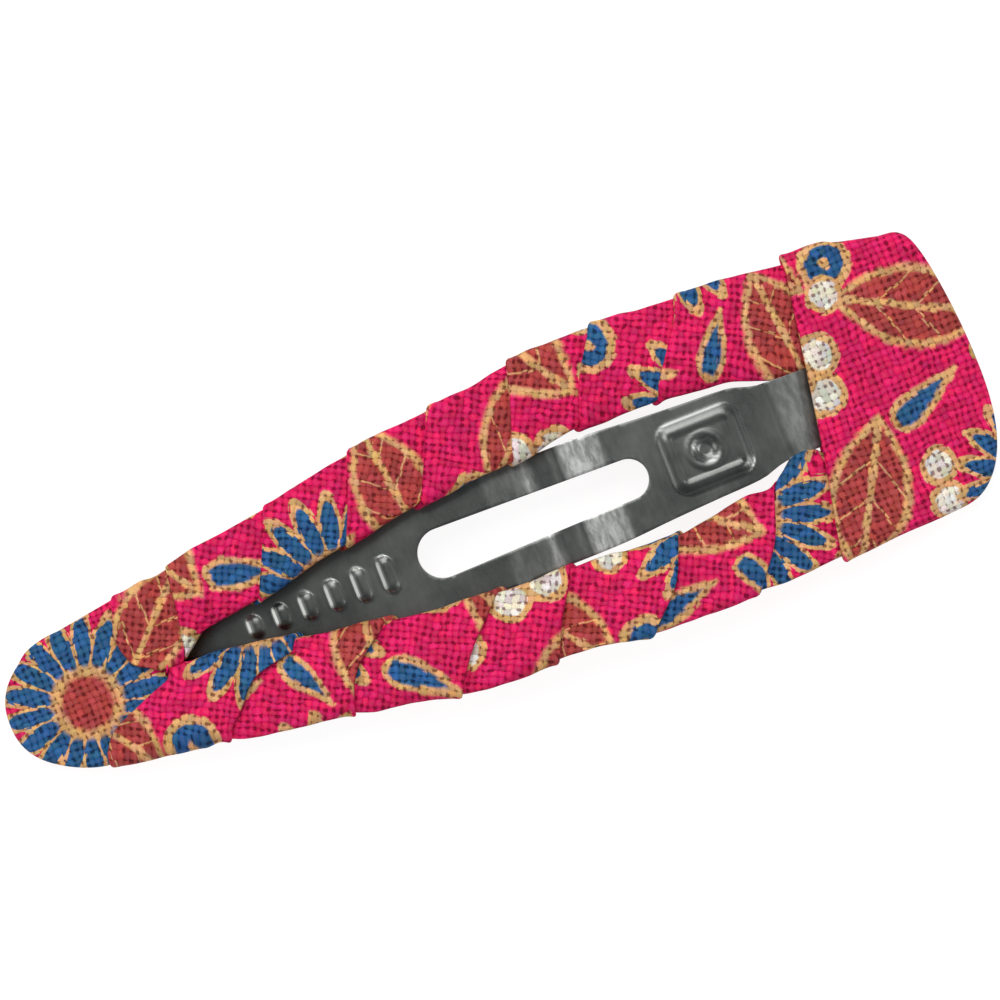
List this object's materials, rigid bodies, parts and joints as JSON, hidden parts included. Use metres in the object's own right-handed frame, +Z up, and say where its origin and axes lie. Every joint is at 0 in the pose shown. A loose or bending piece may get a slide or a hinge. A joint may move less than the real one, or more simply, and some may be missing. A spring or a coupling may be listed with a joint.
{
  "type": "snap hair clip",
  "caption": "Snap hair clip: a teardrop spring-steel blank with a slotted tongue, its arms and ends wound in printed cotton.",
  "frame": {"origin": "on the surface that the closed clip lies on, midway along its length and across its width", "axes": "+X along the clip from the tip to the wide end, +Z up out of the display side"},
  "size_m": [0.062, 0.0194, 0.0061],
  "materials": {
    "blank_steel": "dark oiled spring steel, smooth with fine bend lines",
    "tongue_steel": "dark oiled spring steel with pressed marks and bright worn edges",
    "tip_cotton": "plain-weave cotton, printed with a rayed rosette",
    "upper_cotton": "plain-weave cotton, hot pink with a folk print",
    "lower_cotton": "plain-weave cotton, hot pink with a folk print",
    "band_cotton": "plain-weave cotton, hot pink with leaves and dot flowers"
  },
  "bodies": {
    "frame": {"steel_frame": "blank_steel", "tip_cover": "tip_cotton", "upper_wrap": "upper_cotton", "lower_wrap": "lower_cotton", "end_band": "band_cotton"},
    "tongue": {"steel_tongue": "tongue_steel"}
  },
  "joints": [
    {"name": "snap_open", "type": "hinge", "parent": "frame", "child": "tongue", "pos_m": [0.0185, 0, 0.00338], "axis": [0, -1, 0], "range_deg": [0, 25]}
  ]
}
